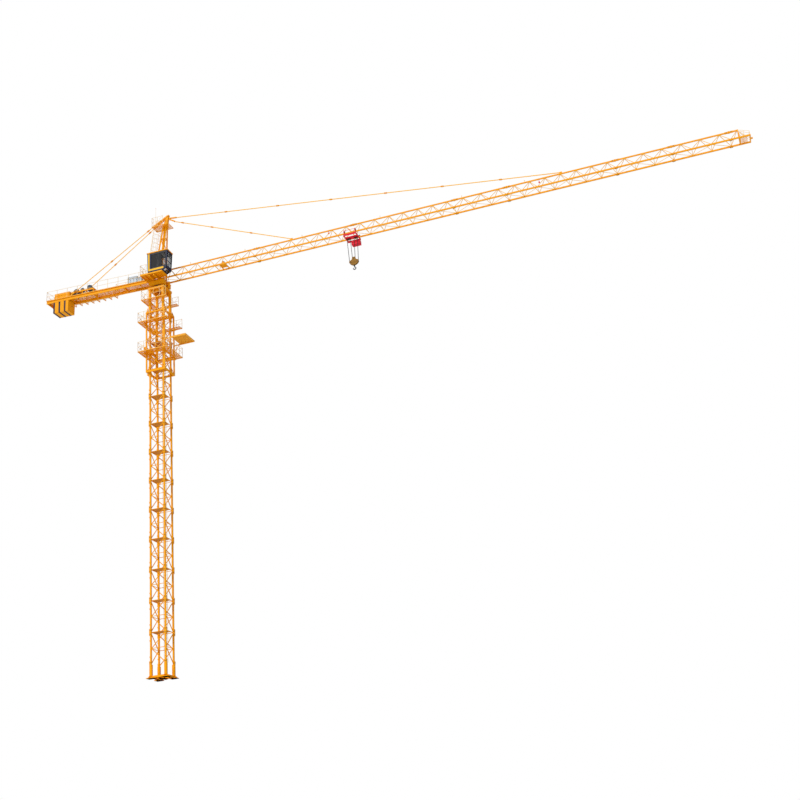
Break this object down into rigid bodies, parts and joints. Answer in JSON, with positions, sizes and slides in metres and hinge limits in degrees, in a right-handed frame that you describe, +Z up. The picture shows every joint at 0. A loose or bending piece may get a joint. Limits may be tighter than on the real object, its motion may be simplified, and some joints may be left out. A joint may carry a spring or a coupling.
{
  "type": "tower crane, 1:2 scale model",
  "caption": "Hammerhead tower crane with a lattice mast and jib, climbing cage, cab, counter-jib, trolley and hook block, at half size.",
  "frame": {"origin": "on the mast axis, at the flat underside of the base frame", "axes": "+Z up, +X along the jib at rest, -Y towards the cab side"},
  "size_m": [34.9353, 1.715, 23.595],
  "materials": {
    "crane_paint": "gloss orange-yellow enamel, lightly dusted",
    "pale_paint": "pale cream enamel on thin tube",
    "dark_grating": "dark brown chequer plate",
    "trolley_paint": "red enamel",
    "dark_steel": "greasy dark steel",
    "block_paint": "worn ochre enamel",
    "machine_paint": "grey-blue machine enamel",
    "cabinet_paint": "light blue-grey enamel",
    "cab_paint": "navy and yellow enamel",
    "cab_glass": "smoked glass",
    "rope_steel": "bright wire rope"
  },
  "bodies": {
    "tower": {"base_frame": "crane_paint", "mast_posts": "crane_paint", "mast_bracing_near": "crane_paint", "mast_bracing_front": "crane_paint", "mast_bracing_far": "crane_paint", "mast_bracing_back": "crane_paint", "mast_ladder": "pale_paint", "mast_rest_platforms": "dark_grating", "lower_support": "crane_paint", "slewing_ring_lower": "dark_steel", "support_platform": "crane_paint", "platform_rails": "pale_paint", "cage_frame": "crane_paint", "cage_bracing": "crane_paint", "cage_upper_platform": "crane_paint", "cage_lower_platform": "crane_paint", "loading_platform": "crane_paint", "jack": "crane_paint"},
    "slewing_top": {"slewing_ring_upper": "dark_steel", "upper_support": "crane_paint", "slewing_motors": "machine_paint", "tower_head": "crane_paint", "head_peak": "crane_paint", "head_platform": "crane_paint", "head_rails": "pale_paint", "head_ladder": "pale_paint", "jib_top_chord": "crane_paint", "jib_lower_chords": "crane_paint", "jib_near_bracing": "crane_paint", "jib_far_bracing": "crane_paint", "jib_bottom_bracing": "crane_paint", "jib_tip": "crane_paint", "trolley_winch": "crane_paint", "jib_pendants": "crane_paint", "counter_ties": "crane_paint", "counter_beams": "crane_paint", "counter_bracing": "crane_paint", "counter_deck": "crane_paint", "counter_walkway": "crane_paint", "counter_rails": "pale_paint", "counterweights": "crane_paint", "winch_frame": "crane_paint", "winch_motor": "machine_paint", "cabinets": "cabinet_paint", "cab_shell": "cab_paint", "cab_glass": "cab_glass", "cab_door": "cab_paint", "cab_platform": "crane_paint", "cab_rails": "pale_paint"},
    "trolley": {"trolley_frame": "trolley_paint", "trolley_wheels": "dark_steel", "trolley_sheaves": "dark_steel", "trolley_basket": "trolley_paint", "hoist_ropes": "rope_steel"},
    "hook_block": {"hook_block": "block_paint", "block_sheaves": "dark_steel"},
    "hook": {"hook": "dark_steel"},
    "hoist_drum": {"hoist_drum": "machine_paint"},
    "trolley_drum": {"trolley_drum": "machine_paint"}
  },
  "joints": [
    {"name": "slew", "type": "hinge", "parent": "tower", "child": "slewing_top", "pos_m": [0, 0, 19.05], "axis": [0, 0, 1], "range_deg": [-540, 540]},
    {"name": "trolley_travel", "type": "slide", "parent": "slewing_top", "child": "trolley", "axis": [1, 0, 0], "range_m": [-8.1, 17.35]},
    {"name": "hoist", "type": "slide", "parent": "trolley", "child": "hook_block", "axis": [0, 0, -1], "range_m": [-0.7, 16.9], "deforming": ["hoist_ropes"]},
    {"name": "hook_swivel", "type": "hinge", "parent": "hook_block", "child": "hook", "pos_m": [10.15, 0, 17.825], "axis": [0, 0, 1], "continuous": true},
    {"name": "hoist_drum_turn", "type": "hinge", "parent": "slewing_top", "child": "hoist_drum", "pos_m": [-4.64842, 0, 19.94293], "axis": [0, 1, 0], "range_deg": [-1300, 29900]},
    {"name": "trolley_drum_turn", "type": "hinge", "parent": "slewing_top", "child": "trolley_drum", "pos_m": [3.5, 0, 19.591], "axis": [0, 1, 0], "range_deg": [-7800, 16600]}
  ],
  "couplings": [
    {"joint": "hoist_drum_turn", "follows": "hoist", "rad_per_m": 30.77},
    {"joint": "trolley_drum_turn", "follows": "trolley_travel", "rad_per_m": 16.67}
  ]
}
